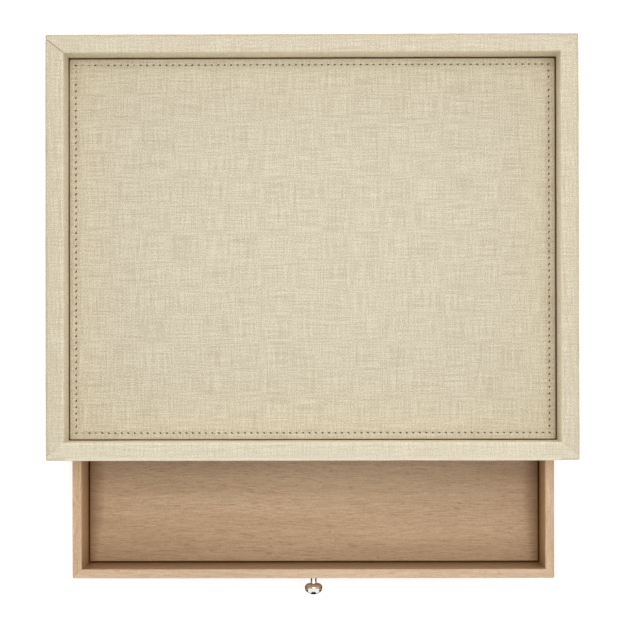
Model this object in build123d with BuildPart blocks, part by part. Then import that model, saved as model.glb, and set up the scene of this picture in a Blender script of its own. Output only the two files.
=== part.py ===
from build123d import *
import os

# Desktop tray with a drawer under it: a board box wrapped in cream leather cloth, a stitched
# pad set in its tray, and a beech drawer that slides in the bay below.
# Millimetres. The origin is the middle of the box's footprint on the desk, +Z is up,
# and the drawer opens towards -Y. The drawer stands partly open.

# The box.
tray_width = 317.5
tray_depth = 254.0
board_thickness = 9.0
board_rounding = 0.6
cover_thickness = 1.0
recess_depth = 25.4
cover_turn_in = 12.0

# The felt under the box.
felt_thickness = 1.5
felt_inset = 3.0
felt_corner_radius = 2.0

# The pad in the tray.
pad_board_thickness = 2.0
pad_gap = 0.8

# The drawer and its running gaps.
drawer_wall = 5.6
drawer_inside_depth = 38.1
drawer_panel_thickness = 3.0
drawer_panel_lip = 3.0
drawer_groove_depth = 2.8
drawer_panel_play = 0.2
drawer_field_height = 2.0
drawer_field_gap = 1.1
drawer_edge_rounding = 0.5
drawer_side_gap = 0.3
drawer_bottom_gap = 0.3
drawer_headroom = 1.3
drawer_back_gap = 1.0
drawer_open = 74.2

# The turned knob, measured outwards from the face of the drawer.
knob_length = 12.6
knob_foot_radius = 3.0
knob_foot_thickness = 0.7
knob_foot_taper = 0.9
knob_stem_radius = 1.85
knob_head_back = 5.7
knob_shoulder_radius = 2.8
knob_shoulder_length = 2.6
knob_head_radius = 5.45
knob_brow_radius = 4.2
knob_brow_rounding = 0.6
knob_face_dome = 1.5
knob_stud_radius = 1.1
knob_stud_in_knob = 6.0
knob_stud_in_front = 4.4

# The square-cut brads that hold the boards together.
brad_width = 1.25
brad_thickness = 1.0
brad_length = 22.0
brad_end_distance = 30.0
brads_in_a_row = 3

# Levels, from the desk up.
cover_bottom = felt_thickness
board_bottom = cover_bottom + cover_thickness
base_top = board_bottom + board_thickness
bay_floor = base_top + cover_thickness
drawer_bottom_edge = bay_floor + drawer_bottom_gap
panel_bottom = drawer_bottom_edge + drawer_panel_lip
panel_top = panel_bottom + drawer_panel_thickness
drawer_floor = panel_top + drawer_field_height
drawer_rim = drawer_floor + drawer_inside_depth
bay_ceiling = drawer_rim + drawer_headroom
floor_board_bottom = bay_ceiling + cover_thickness
floor_board_top = floor_board_bottom + board_thickness
pad_thickness = pad_board_thickness + cover_thickness
tray_rim = floor_board_top + pad_thickness + recess_depth
board_top = tray_rim - cover_thickness

# Widths and depths, from the outside in.
fold_radius = board_rounding + cover_thickness
wall_thickness = board_thickness + 2 * cover_thickness
core_width = tray_width - 2 * cover_thickness
core_depth = tray_depth - 2 * cover_thickness
between_boards_width = core_width - 2 * board_thickness
between_boards_depth = core_depth - 2 * board_thickness
recess_width = tray_width - 2 * wall_thickness
recess_depth_across = tray_depth - 2 * wall_thickness
bay_width = recess_width
bay_height = bay_ceiling - bay_floor
bay_middle = bay_floor + bay_height / 2
front_face = -tray_depth / 2
back_board_front = between_boards_depth / 2
bay_back = back_board_front - cover_thickness
turn_in_end = front_face + cover_turn_in

# The drawer's outline and place.
drawer_width = bay_width - 2 * drawer_side_gap
drawer_length = bay_back - front_face - drawer_back_gap
drawer_height = drawer_rim - drawer_bottom_edge
drawer_front_face = front_face - drawer_open
drawer_middle = drawer_front_face + drawer_length / 2
knob_level = drawer_bottom_edge + drawer_height / 2


# An upright plane at 45 degrees through a corner. Its top side holds the piece that runs along X.
def mitre(corner_x, corner_y, end):
    side = 1 if corner_x > 0 else -1
    return Plane(origin=(corner_x, corner_y, 0), x_dir=(0, 0, 1), z_dir=(-side, end, 0))


front_left_mitre = mitre(-tray_width / 2, -tray_depth / 2, -1)
front_right_mitre = mitre(tray_width / 2, -tray_depth / 2, -1)
back_left_mitre = mitre(-tray_width / 2, tray_depth / 2, 1)
back_right_mitre = mitre(tray_width / 2, tray_depth / 2, 1)


# Evenly spaced places along a board, clear of its ends by the brads' distance.
def brad_row(low, high):
    step = (high - low - 2 * brad_end_distance) / (brads_in_a_row - 1)
    return [low + brad_end_distance + step * number for number in range(brads_in_a_row)]


# The brads: through the two sides into every board between them, and through the back into
# the tray floor and the base. The covers hide them.
base_middle = board_bottom + board_thickness / 2
floor_middle = floor_board_bottom + board_thickness / 2
back_board_middle = back_board_front + board_thickness / 2
rail_middle = (floor_board_bottom + board_top) / 2
side_brad_places = [(place, base_middle) for place in brad_row(-core_depth / 2, back_board_front)]
side_brad_places += [(place, floor_middle) for place in brad_row(-back_board_front, back_board_front)]
side_brad_places += [(back_board_middle, (base_top + floor_board_bottom) / 2)]
side_brad_places += [(back_board_middle, rail_middle), (-back_board_middle, rail_middle)]
back_brad_places = [(place, level) for place in brad_row(-between_boards_width / 2, between_boards_width / 2)
                    for level in (base_middle, floor_middle)]

with BuildPart() as carcass_brads:
    for side in (-1, 1):
        for place, level in side_brad_places:
            head_middle = (side * core_width / 2, place, level)
            brad_head = Plane(origin=head_middle, x_dir=(0, 1, 0), z_dir=(-side, 0, 0))
            with BuildSketch(brad_head):
                Rectangle(brad_width, brad_thickness)
            extrude(amount=brad_length)
    for place, level in back_brad_places:
        brad_head = Plane(origin=(place, core_depth / 2, level), x_dir=(1, 0, 0), z_dir=(0, -1, 0))
        with BuildSketch(brad_head):
            Rectangle(brad_width, brad_thickness)
        extrude(amount=brad_length)

# The ring of four upright walls, before it is cut into boards.
with BuildPart() as core:
    with BuildSketch(Plane.XY.offset(board_bottom)):
        Rectangle(core_width, core_depth)
        Rectangle(between_boards_width, between_boards_depth, mode=Mode.SUBTRACT)
    extrude(amount=board_top - board_bottom)
    fillet(core.faces().sort_by(Axis.Z)[-1].edges(), radius=board_rounding)

with BuildPart() as left_side_board:
    add(core.part)
    split(bisect_by=Plane.YZ.offset(-between_boards_width / 2), keep=Keep.BOTTOM)
    add(carcass_brads.part, mode=Mode.SUBTRACT)

with BuildPart() as right_side_board:
    add(core.part)
    split(bisect_by=Plane.YZ.offset(between_boards_width / 2), keep=Keep.TOP)
    add(carcass_brads.part, mode=Mode.SUBTRACT)

with BuildPart() as back_board:
    add(core.part)
    split(bisect_by=Plane.YZ.offset(-between_boards_width / 2), keep=Keep.TOP)
    split(bisect_by=Plane.YZ.offset(between_boards_width / 2), keep=Keep.BOTTOM)
    split(bisect_by=Plane.XZ, keep=Keep.BOTTOM)
    add(carcass_brads.part, mode=Mode.SUBTRACT)

with BuildPart() as front_rail_board:
    add(core.part)
    split(bisect_by=Plane.YZ.offset(-between_boards_width / 2), keep=Keep.TOP)
    split(bisect_by=Plane.YZ.offset(between_boards_width / 2), keep=Keep.BOTTOM)
    split(bisect_by=Plane.XZ, keep=Keep.TOP)
    split(bisect_by=Plane.XY.offset(floor_board_bottom), keep=Keep.TOP)
    add(carcass_brads.part, mode=Mode.SUBTRACT)

with BuildPart() as tray_floor_board:
    with BuildSketch(Plane.XY.offset(floor_board_bottom)):
        Rectangle(between_boards_width, between_boards_depth)
    extrude(amount=board_thickness)
    add(carcass_brads.part, mode=Mode.SUBTRACT)

with BuildPart() as base_board:
    with BuildSketch(Plane.XY.offset(board_bottom)):
        with Locations((0, back_board_front)):
            Rectangle(between_boards_width, core_depth - board_thickness, align=(Align.CENTER, Align.MAX))
    extrude(amount=board_thickness)
    add(carcass_brads.part, mode=Mode.SUBTRACT)

# The cloth round the four walls in one ring: outside, over the rim, down to the tray floor
# inside, and turned under the bottom. It is cut at the mitres into four covers.
with BuildPart() as wrap:
    with BuildSketch(Plane.XY.offset(cover_bottom)):
        Rectangle(tray_width, tray_depth)
        Rectangle(recess_width, recess_depth_across, mode=Mode.SUBTRACT)
    extrude(amount=tray_rim - cover_bottom)
    upright = wrap.edges().filter_by(Axis.Z).sort_by_distance((0, 0, cover_bottom))[-4:]
    bottom_edges = wrap.faces().sort_by(Axis.Z)[0].outer_wire().edges()
    fillet(upright + bottom_edges, radius=cover_thickness)
    fillet(wrap.faces().sort_by(Axis.Z)[-1].edges(), radius=fold_radius)
    add(core.part, mode=Mode.SUBTRACT)
    with BuildSketch(Plane.XY.offset(board_bottom)):
        Rectangle(between_boards_width, between_boards_depth)
    extrude(amount=floor_board_top - board_bottom, mode=Mode.SUBTRACT)

with BuildPart() as left_side_cover:
    add(wrap.part)
    split(bisect_by=front_left_mitre, keep=Keep.BOTTOM)
    split(bisect_by=back_left_mitre, keep=Keep.BOTTOM)

with BuildPart() as right_side_cover:
    add(wrap.part)
    split(bisect_by=front_right_mitre, keep=Keep.BOTTOM)
    split(bisect_by=back_right_mitre, keep=Keep.BOTTOM)

with BuildPart() as back_cover:
    add(wrap.part)
    split(bisect_by=back_left_mitre, keep=Keep.TOP)
    split(bisect_by=back_right_mitre, keep=Keep.TOP)

# The front cover has the drawer's opening cut in it, and its edges turn into the bay.
with BuildPart() as front_cover:
    add(wrap.part)
    split(bisect_by=front_left_mitre, keep=Keep.TOP)
    split(bisect_by=front_right_mitre, keep=Keep.TOP)
    with BuildSketch(Plane.XZ.offset(-front_face - cover_thickness)):
        with Locations((0, bay_middle)):
            Rectangle(bay_width + 2 * cover_thickness, bay_height + 2 * cover_thickness)
    extrude(amount=cover_thickness - cover_turn_in)
    with BuildSketch(Plane.XZ.offset(-front_face)):
        with Locations((0, bay_middle)):
            Rectangle(bay_width, bay_height)
    extrude(amount=-cover_turn_in, mode=Mode.SUBTRACT)
    opening_edges = front_cover.faces().sort_by(Axis.Y)[0].inner_wires().edges()
    fillet(opening_edges, radius=cover_thickness)

# The bay's linings start where the front cover's turned edges end.
lining_length = back_board_front - turn_in_end

with BuildPart() as bay_floor_lining:
    with BuildSketch(Plane.XY.offset(base_top)):
        with Locations((0, back_board_front)):
            Rectangle(between_boards_width, lining_length, align=(Align.CENTER, Align.MAX))
    extrude(amount=cover_thickness)

with BuildPart() as bay_ceiling_lining:
    with BuildSketch(Plane.XY.offset(bay_ceiling)):
        with Locations((0, back_board_front)):
            Rectangle(between_boards_width, lining_length, align=(Align.CENTER, Align.MAX))
    extrude(amount=cover_thickness)

with BuildPart() as bay_left_lining:
    with BuildSketch(Plane.XY.offset(bay_floor)):
        with Locations((-between_boards_width / 2, back_board_front)):
            Rectangle(cover_thickness, lining_length, align=(Align.MIN, Align.MAX))
    extrude(amount=bay_height)

with BuildPart() as bay_right_lining:
    with BuildSketch(Plane.XY.offset(bay_floor)):
        with Locations((between_boards_width / 2, back_board_front)):
            Rectangle(cover_thickness, lining_length, align=(Align.MAX, Align.MAX))
    extrude(amount=bay_height)

with BuildPart() as bay_back_lining:
    with BuildSketch(Plane.XY.offset(bay_floor)):
        with Locations((0, back_board_front)):
            Rectangle(bay_width, cover_thickness, align=(Align.CENTER, Align.MAX))
    extrude(amount=bay_height)

# The felt covers the turned-under edges and sinks between them to the base board.
with BuildPart() as base_felt:
    with BuildSketch():
        RectangleRounded(tray_width - 2 * felt_inset, tray_depth - 2 * felt_inset, felt_corner_radius)
    extrude(amount=felt_thickness)
    with BuildSketch(Plane.XY.offset(felt_thickness)):
        Rectangle(recess_width, recess_depth_across)
    extrude(amount=cover_thickness)

# The pad: a thin board under the same cloth, lying loose in the tray.
pad_width = recess_width - 2 * pad_gap
pad_depth = recess_depth_across - 2 * pad_gap

with BuildPart() as pad_board:
    with BuildSketch(Plane.XY.offset(floor_board_top)):
        Rectangle(pad_width - 2 * cover_thickness, pad_depth - 2 * cover_thickness)
    extrude(amount=pad_board_thickness)

with BuildPart() as pad_cover:
    with BuildSketch(Plane.XY.offset(floor_board_top)):
        Rectangle(pad_width, pad_depth)
    extrude(amount=pad_thickness)
    pad_folds = pad_cover.edges().filter_by(Axis.Z) + pad_cover.faces().sort_by(Axis.Z)[-1].edges()
    fillet(pad_folds, radius=cover_thickness)
    add(pad_board.part, mode=Mode.SUBTRACT)

# The drawer's frame in one ring, grooved for its bottom panel and mitred at the corners.
with BuildPart() as drawer_frame:
    with BuildSketch(Plane.XY.offset(drawer_bottom_edge)):
        with Locations((0, drawer_middle)):
            Rectangle(drawer_width, drawer_length)
            Rectangle(drawer_width - 2 * drawer_wall, drawer_length - 2 * drawer_wall, mode=Mode.SUBTRACT)
    extrude(amount=drawer_height)
    drawer_centre = (0, drawer_middle, drawer_bottom_edge)
    upright = drawer_frame.edges().filter_by(Axis.Z).sort_by_distance(drawer_centre)[-4:]
    top_edges = drawer_frame.faces().sort_by(Axis.Z)[-1].edges()
    fillet(upright + top_edges, radius=drawer_edge_rounding)
    with BuildSketch(Plane.XY.offset(panel_bottom)):
        with Locations((0, drawer_middle)):
            Rectangle(drawer_width - 2 * (drawer_wall - drawer_groove_depth),
                      drawer_length - 2 * (drawer_wall - drawer_groove_depth))
    extrude(amount=drawer_panel_thickness, mode=Mode.SUBTRACT)

drawer_back_face = drawer_front_face + drawer_length
drawer_mitres = {
    "front left": mitre(-drawer_width / 2, drawer_front_face, -1),
    "front right": mitre(drawer_width / 2, drawer_front_face, -1),
    "back left": mitre(-drawer_width / 2, drawer_back_face, 1),
    "back right": mitre(drawer_width / 2, drawer_back_face, 1),
}

# The knob's centre on the drawer's face. Its own Y runs outwards.
knob_plane = Plane(origin=(0, drawer_front_face, knob_level), x_dir=(1, 0, 0), z_dir=(0, 0, -1))
knob_axis = Axis(knob_plane.origin, knob_plane.y_dir)

with BuildPart() as knob_stud:
    with BuildSketch(knob_plane):
        with Locations((0, -knob_stud_in_front)):
            Rectangle(knob_stud_radius, knob_stud_in_front + knob_stud_in_knob, align=(Align.MIN, Align.MIN))
    revolve(axis=knob_axis)

# A turned mushroom: a foot against the wood, a slim stem, a rounded head and a domed face.
foot_edge = (knob_foot_radius, knob_foot_thickness)
neck = (knob_stem_radius, knob_foot_thickness + knob_foot_taper)
head_back = (knob_stem_radius, knob_head_back)
shoulder_start = (knob_shoulder_radius, knob_head_back)
belly = (knob_head_radius, knob_head_back + knob_shoulder_length)
brow = (knob_brow_radius, knob_length - knob_face_dome)

with BuildPart() as knob:
    with BuildSketch(knob_plane) as knob_outline:
        with BuildLine():
            Polyline((0, 0), (knob_foot_radius, 0), foot_edge, neck, head_back, shoulder_start)
            shoulder = TangentArc(shoulder_start, belly, tangent=(1, 0))
            TangentArc(shoulder @ 1, brow, tangent=shoulder % 1)
            TangentArc((0, knob_length), brow, tangent=(1, 0))
            Line((0, knob_length), (0, 0))
        make_face()
        fillet(knob_outline.vertices().sort_by_distance((*brow, 0))[0], radius=knob_brow_rounding)
    revolve(axis=knob_axis)
    add(knob_stud.part, mode=Mode.SUBTRACT)

with BuildPart() as drawer_front:
    add(drawer_frame.part)
    split(bisect_by=drawer_mitres["front left"], keep=Keep.TOP)
    split(bisect_by=drawer_mitres["front right"], keep=Keep.TOP)
    add(knob_stud.part, mode=Mode.SUBTRACT)

with BuildPart() as drawer_back:
    add(drawer_frame.part)
    split(bisect_by=drawer_mitres["back left"], keep=Keep.TOP)
    split(bisect_by=drawer_mitres["back right"], keep=Keep.TOP)

with BuildPart() as drawer_left_side:
    add(drawer_frame.part)
    split(bisect_by=drawer_mitres["front left"], keep=Keep.BOTTOM)
    split(bisect_by=drawer_mitres["back left"], keep=Keep.BOTTOM)

with BuildPart() as drawer_right_side:
    add(drawer_frame.part)
    split(bisect_by=drawer_mitres["front right"], keep=Keep.BOTTOM)
    split(bisect_by=drawer_mitres["back right"], keep=Keep.BOTTOM)

# The bottom panel's edges are rebated to fit the grooves, which leaves an open gap between its
# raised field and the walls.
panel_inset = drawer_wall - drawer_groove_depth + drawer_panel_play
field_inset = drawer_wall + drawer_field_gap
with BuildPart() as drawer_bottom:
    with BuildSketch(Plane.XY.offset(panel_bottom)):
        with Locations((0, drawer_middle)):
            Rectangle(drawer_width - 2 * panel_inset, drawer_length - 2 * panel_inset)
    extrude(amount=drawer_panel_thickness)
    with BuildSketch(Plane.XY.offset(panel_top)):
        with Locations((0, drawer_middle)):
            Rectangle(drawer_width - 2 * field_inset, drawer_length - 2 * field_inset)
    extrude(amount=drawer_field_height)

pieces = {
    "left_side_board": left_side_board,
    "right_side_board": right_side_board,
    "back_board": back_board,
    "front_rail_board": front_rail_board,
    "tray_floor_board": tray_floor_board,
    "base_board": base_board,
    "carcass_brads": carcass_brads,
    "left_side_cover": left_side_cover,
    "right_side_cover": right_side_cover,
    "back_cover": back_cover,
    "front_cover": front_cover,
    "bay_floor_lining": bay_floor_lining,
    "bay_ceiling_lining": bay_ceiling_lining,
    "bay_left_lining": bay_left_lining,
    "bay_right_lining": bay_right_lining,
    "bay_back_lining": bay_back_lining,
    "base_felt": base_felt,
    "pad_board": pad_board,
    "pad_cover": pad_cover,
    "drawer_front": drawer_front,
    "drawer_back": drawer_back,
    "drawer_left_side": drawer_left_side,
    "drawer_right_side": drawer_right_side,
    "drawer_bottom": drawer_bottom,
    "knob": knob,
    "knob_stud": knob_stud,
}
os.makedirs("parts", exist_ok=True)
for name, piece in pieces.items():
    piece.part.label = name
    export_step(piece.part, f"parts/{name}.step")
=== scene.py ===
import random
from math import atan2, cos, dist, exp, pi, radians, sin

import bpy
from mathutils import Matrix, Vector, geometry, kdtree, noise


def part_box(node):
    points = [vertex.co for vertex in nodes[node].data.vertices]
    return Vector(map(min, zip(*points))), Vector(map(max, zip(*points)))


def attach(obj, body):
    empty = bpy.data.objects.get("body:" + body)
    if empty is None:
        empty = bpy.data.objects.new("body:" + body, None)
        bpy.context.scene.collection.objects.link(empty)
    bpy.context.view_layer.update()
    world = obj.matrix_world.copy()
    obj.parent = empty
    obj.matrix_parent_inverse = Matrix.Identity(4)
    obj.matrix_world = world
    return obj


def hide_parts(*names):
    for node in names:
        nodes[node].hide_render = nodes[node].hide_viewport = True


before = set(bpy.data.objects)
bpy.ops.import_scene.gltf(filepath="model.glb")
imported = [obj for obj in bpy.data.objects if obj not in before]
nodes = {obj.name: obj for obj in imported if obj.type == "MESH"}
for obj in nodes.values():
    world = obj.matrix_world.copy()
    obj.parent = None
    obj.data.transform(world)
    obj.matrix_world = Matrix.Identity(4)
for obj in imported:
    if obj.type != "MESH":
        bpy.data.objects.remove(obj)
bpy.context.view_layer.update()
random.seed(11)
mm = 0.001
print("Frame loaded,", len(nodes), "nodes")


# Shader helpers

class Signal:
    # an output socket that takes part in sums like a number
    def __init__(self, socket):
        self.socket, self.tree = socket, socket.id_data

    def maths(self, operation, second=0.0):
        return signal(self.tree, "ShaderNodeMath", "Value", {0: self, 1: second}, operation=operation)

    def __add__(self, other):
        return self.maths("ADD", other)

    __radd__ = __add__

    def __sub__(self, other):
        return self.maths("SUBTRACT", other)

    def __rsub__(self, other):
        return signal(self.tree, "ShaderNodeMath", "Value", {0: other, 1: self}, operation="SUBTRACT")

    def __mul__(self, other):
        return self.maths("MULTIPLY", other)

    def __truediv__(self, other):
        return self.maths("DIVIDE", other)

    def __abs__(self):
        return self.maths("ABSOLUTE")

    def least(self, other):
        return self.maths("MINIMUM", other)

    def most(self, other):
        return self.maths("MAXIMUM", other)

    def ranged(self, low, high, toLow=0.0, toHigh=1.0):
        # low to high becomes toLow to toHigh, and values beyond them stop there
        return signal(self.tree, "ShaderNodeMapRange", "Result",
                      {"Value": self, "From Min": low, "From Max": high, "To Min": toLow, "To Max": toHigh})


def feed(value, socket):
    # links a signal, or sets a number, vector or colour
    if isinstance(value, Signal):
        socket.id_data.links.new(value.socket, socket)
    else:
        socket.default_value = (*value, 1.0) if socket.type == "RGBA" else value


def signal(tree, kind, output, inputs=None, **settings):
    # one output of a new node
    node = tree.nodes.new(kind)
    for name, value in settings.items():
        setattr(node, name, value)
    for name, value in (inputs or {}).items():
        feed(value, node.inputs[name])
    return Signal(node.outputs[output])


def grainNoise(vector, perMetre, start, octaves, rough=0.5):
    place = signal(vector.tree, "ShaderNodeMapping", "Vector",
                   {"Vector": vector, "Scale": perMetre, "Location": start})
    return signal(vector.tree, "ShaderNodeTexNoise", "Fac",
                  {"Vector": place, "Scale": 1.0, "Detail": octaves, "Roughness": rough})


def blended(factor, first, second, mode="MIX"):
    return signal(factor.tree, "ShaderNodeMix", 2, {0: factor, 6: first, 7: second}, data_type="RGBA",
                  blend_type=mode)


def axesOf(vector):
    return [signal(vector.tree, "ShaderNodeSeparateXYZ", axis, {"Vector": vector}) for axis in "XYZ"]


def marked(tree, name):
    # a value kept on the mesh's points
    return signal(tree, "ShaderNodeAttribute", "Fac", attribute_name=name)


def makeGroup(name, numbers, outputs):
    group = bpy.data.node_groups.new(name, "ShaderNodeTree")
    addSocket = group.interface.new_socket
    addSocket("Vector", in_out="INPUT", socket_type="NodeSocketVector")
    for label, value in numbers.items():
        addSocket(label, in_out="INPUT", socket_type="NodeSocketFloat").default_value = value
    for label in outputs:
        addSocket(label, in_out="OUTPUT", socket_type="NodeSocketFloat")
    given = {socket.name: Signal(socket) for socket in group.nodes.new("NodeGroupInput").outputs}
    return group, given, group.nodes.new("NodeGroupOutput").inputs


def useGroup(group, vector, **numbers):
    first = signal(vector.tree, "ShaderNodeGroup", 0, {"Vector": vector, **numbers}, node_tree=group)
    return [Signal(socket) for socket in first.socket.node.outputs]


def newMaterial(name, values):
    # values are set on the Principled shader itself
    material = bpy.data.materials.new(name)
    material.use_nodes = True
    inputs = material.node_tree.nodes["Principled BSDF"].inputs
    for label, value in values.items():
        feed(value, inputs[label])
    return material, material.node_tree, inputs


def addBump(inputs, height, strength, distance):
    feed(signal(height.tree, "ShaderNodeBump", "Normal",
                {"Height": height, "Strength": strength, "Distance": distance}), inputs["Normal"])


# Embossed linen: threads both ways, patches where one way shows more, slubs and fine specks.
linen = {
    "weights": {"Threads": 0.42, "Slubs": 0.25, "Specks": 0.78, "Cloudy": 0.04},
    "layers": {  # grains per metre on each axis, where the noise starts, octaves
        "warp": ((1300, 60, 1), (3.1, 0.4, 0), 1.0),
        "weft": ((55, 1300, 1), (0.7, 8.2, 4.0), 1.0),
        "patch": ((130, 130, 1), (5.0, 1.0, 9.0), 1.0),
        "longWeft": ((36, 800, 1), (0.2, 5.0, 13.0), 0.0),
        "longWarp": ((800, 30, 1), (9.0, 0.6, 17.0), 0.0),
        "specks": ((1550, 1550, 1), (2.0, 2.0, 21.0), 0.0),
        "cloudy": ((30, 30, 1), (1.0, 6.0, 27.0), 1.0),
    },
    "threadSpan": (0.34, 0.66, -0.5, 0.5),  # the stretch of a noise that counts, and what it becomes
    "speckSpan": (0.35, 0.65, -0.5, 0.5),
    "patchSpan": (0.12, 0.88),
    "proudSpan": (0.70, 0.82),
    "hollowWeftSpan": (0.33, 0.22),
    "hollowWarpSpan": (0.31, 0.20),
    "warpLeast": 0.4,  # how much each way shows where the other shows most
    "weftLeast": 0.5,
    "proudShare": 0.8,
    "speckRelief": 0.5,
    "slubRelief": 0.6,
}


def buildLinen():
    group, given, made = makeGroup("linenWeave", linen["weights"], ["Tone", "Height"])
    layers = {name: grainNoise(given["Vector"], *layer) for name, layer in linen["layers"].items()}
    patch = layers["patch"].ranged(*linen["patchSpan"])
    warp = layers["warp"].ranged(*linen["threadSpan"]) * (patch + linen["warpLeast"])
    weft = layers["weft"].ranged(*linen["threadSpan"]) * (1 + linen["weftLeast"] - patch)
    threads = warp + weft
    longWeft, longWarp = layers["longWeft"], layers["longWarp"]
    proud = longWeft.ranged(*linen["proudSpan"]) + longWarp.ranged(*linen["proudSpan"])
    hollow = longWeft.ranged(*linen["hollowWeftSpan"]) + longWarp.ranged(*linen["hollowWarpSpan"])
    slubs = proud * linen["proudShare"] - hollow
    specks = layers["specks"].ranged(*linen["speckSpan"])
    tone = threads * given["Threads"] + slubs * given["Slubs"] + specks * given["Specks"]
    feed(tone + (layers["cloudy"] - 0.5) * given["Cloudy"] + 0.5, made["Tone"])
    feed(threads + specks * linen["speckRelief"] + slubs * linen["slubRelief"], made["Height"])
    return group


# Beech: fine fibres, short dark flecks, pores and slow waves, all running along X of the vector given.
beech = {
    "weights": {"Fibres": 0.72, "Strands": 0.95, "Bands": 0.8, "Pores": 0.7},
    "sway": ((7, 24, 24), (0, 3.0, 1.0), 1.0),
    "swayReach": 12 * mm,
    "layers": {
        "Fibres": ((75, 1800, 1800), (4.0, 0.0, 2.0), 2.0, 0.7),
        "Strands": ((10, 300, 300), (2.0, 5.0, 9.0), 1.0),
        "Bands": ((6, 60, 60), (1.0, 7.0, 5.0), 1.0),
        "Pores": ((800, 1600, 1600), (3.0, 3.0, 3.0), 0.0),
        "Fleck": ((190, 1100, 1100), (6.0, 2.0, 8.0), 0.0),
    },
    "fibreSpan": (0.32, 0.68),
    "fleckSpan": (0.66, 0.80),
    "fleckRelief": 0.4,
}


def buildBeech():
    group, given, made = makeGroup("beechGrain", beech["weights"], ["Tone", "Fleck", "Height"])
    sway = (grainNoise(given["Vector"], *beech["sway"]) - 0.5) * beech["swayReach"]
    shift = signal(group, "ShaderNodeCombineXYZ", "Vector", {"Y": sway, "Z": sway})
    swayed = signal(group, "ShaderNodeVectorMath", "Vector", {0: given["Vector"], 1: shift}, operation="ADD")
    layers = {name: grainNoise(swayed, *layer) for name, layer in beech["layers"].items()}
    layers["Fibres"] = layers["Fibres"].ranged(*beech["fibreSpan"])
    fleck = layers["Fleck"].ranged(*beech["fleckSpan"])
    feed(sum(((layers[name] - 0.5) * given[name] for name in beech["weights"]), 0.5), made["Tone"])
    feed(fleck, made["Fleck"])
    feed(layers["Fibres"] - fleck * beech["fleckRelief"], made["Height"])
    return group


# Painted shade on the drawer's wood: its inner faces darker towards the floor, the floor darker beside the walls
# and the front, and the gap round the floor dark.
drawerShade = {
    "reaches": {"Reach": 11 * mm, "FrontReach": 33 * mm},  # how far the floor's dark edges go
    "endsNarrower": 5.0,  # beside the front and the back the edge is that many times narrower
    "frontShare": 0.5, "wallAtRim": 0.35, "wallFrom": 0.6 * mm,
    "underRim": (0.3 * mm, 0.8 * mm), "underFloor": (0.2 * mm, 0.6 * mm),
    "beforeWall": (-0.4 * mm, -0.2 * mm), "besideWall": (0.3 * mm, 0.8 * mm),
}


def buildDrawerShade():
    halfX = -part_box("drawer_left_side")[1][0]
    frontY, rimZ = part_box("drawer_front")[1][1:]
    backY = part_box("drawer_back")[0][1]
    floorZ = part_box("drawer_bottom")[1][2]
    group, given, made = makeGroup("drawerInside", drawerShade["reaches"], ["Wall", "Edge", "Gap"])
    x, y, z = axesOf(given["Vector"])
    aside, ahead = halfX - abs(x), y - frontY
    nearestEnd = ahead.least(backY - y)
    within, onFloor = (aside.least(nearestEnd).ranged(*drawerShade[name]) for name in ("beforeWall", "besideWall"))
    deep = z.ranged(rimZ - drawerShade["wallFrom"], floorZ, drawerShade["wallAtRim"], 1.0)
    below = z.ranged(*(rimZ - drop for drop in drawerShade["underRim"]))
    sunk = z.ranged(*(floorZ - drop for drop in drawerShade["underFloor"]))
    fading = (aside.least(nearestEnd * drawerShade["endsNarrower"]) / given["Reach"]).ranged(1.0, 0.0)
    frontFading = (ahead / given["FrontReach"]).ranged(1.0, 0.0, 0.0, drawerShade["frontShare"])
    # painted shade: on the inner walls, on the floor's edges and in the gap round the floor
    feed(deep * below * within * (1.0 - onFloor), made["Wall"])
    feed(fading.most(frontFading) * onFloor, made["Edge"])
    feed(sunk * within, made["Gap"])
    return group


linenGroup = buildLinen()
beechGroup = buildBeech()
drawerShadeGroup = buildDrawerShade()
print("Shader groups built")

# Finishes

cloth = {
    "light": (0.809, 0.741, 0.580),
    "dark": (0.556, 0.480, 0.335),
    # a painted shadow in the needle slots
    "pierced": (0.050, 0.036, 0.016),
    # a painted highlight on the folds
    "fold": (0.86, 0.76, 0.62),
    "foldShare": 0.6,
    # painted shade on the outer folds and along the pad's sides
    "paintedShade": (0.62, 0.54, 0.50),
    "shader": {"Roughness": 0.55, "Specular IOR Level": 0.35},
    "bump": (0.35, 0.2 * mm),
}


def clothMaterial():
    # every piece of the cloth gets painted light or shade over the whole of it, and shows its threads more or less
    material, tree, inputs = newMaterial("linenCloth", cloth["shader"])
    tone, height = useGroup(linenGroup, signal(tree, "ShaderNodeUVMap", "UV", uv_map="flat"))
    # painted light or shade over the whole piece is added to the tone
    tone = (tone - 0.5) * (1.0 - marked(tree, "worn")) + 0.5 + marked(tree, "cut")
    colour = blended(tone, cloth["dark"], cloth["light"])
    # painted highlight on the folds
    colour = blended(marked(tree, "fold") * cloth["foldShare"], colour, cloth["fold"])
    # painted shade on the outer folds and the pad's sides
    colour = blended(marked(tree, "paintedShade"), colour, cloth["paintedShade"], "MULTIPLY")
    # painted shadow in the needle slots
    colour = blended(marked(tree, "pierced"), colour, cloth["pierced"])
    feed(colour, inputs["Base Color"])
    addBump(inputs, height, *cloth["bump"])
    return material


wood = {
    "fleck": (0.340, 0.205, 0.110),
    "fleckShare": 0.42,
    # painted shade on the floor's edges, and the colour of the painted shade in the gap round the floor
    "edgeShade": (0.42, 0.30, 0.18),
    "gap": (0.170, 0.062, 0.006),
    "gapDust": 0.55,  # how much rougher the gap is
    "shader": {"Roughness": 0.42, "Specular IOR Level": 0.4},
    "bump": (0.25, 0.15 * mm),
}
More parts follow.
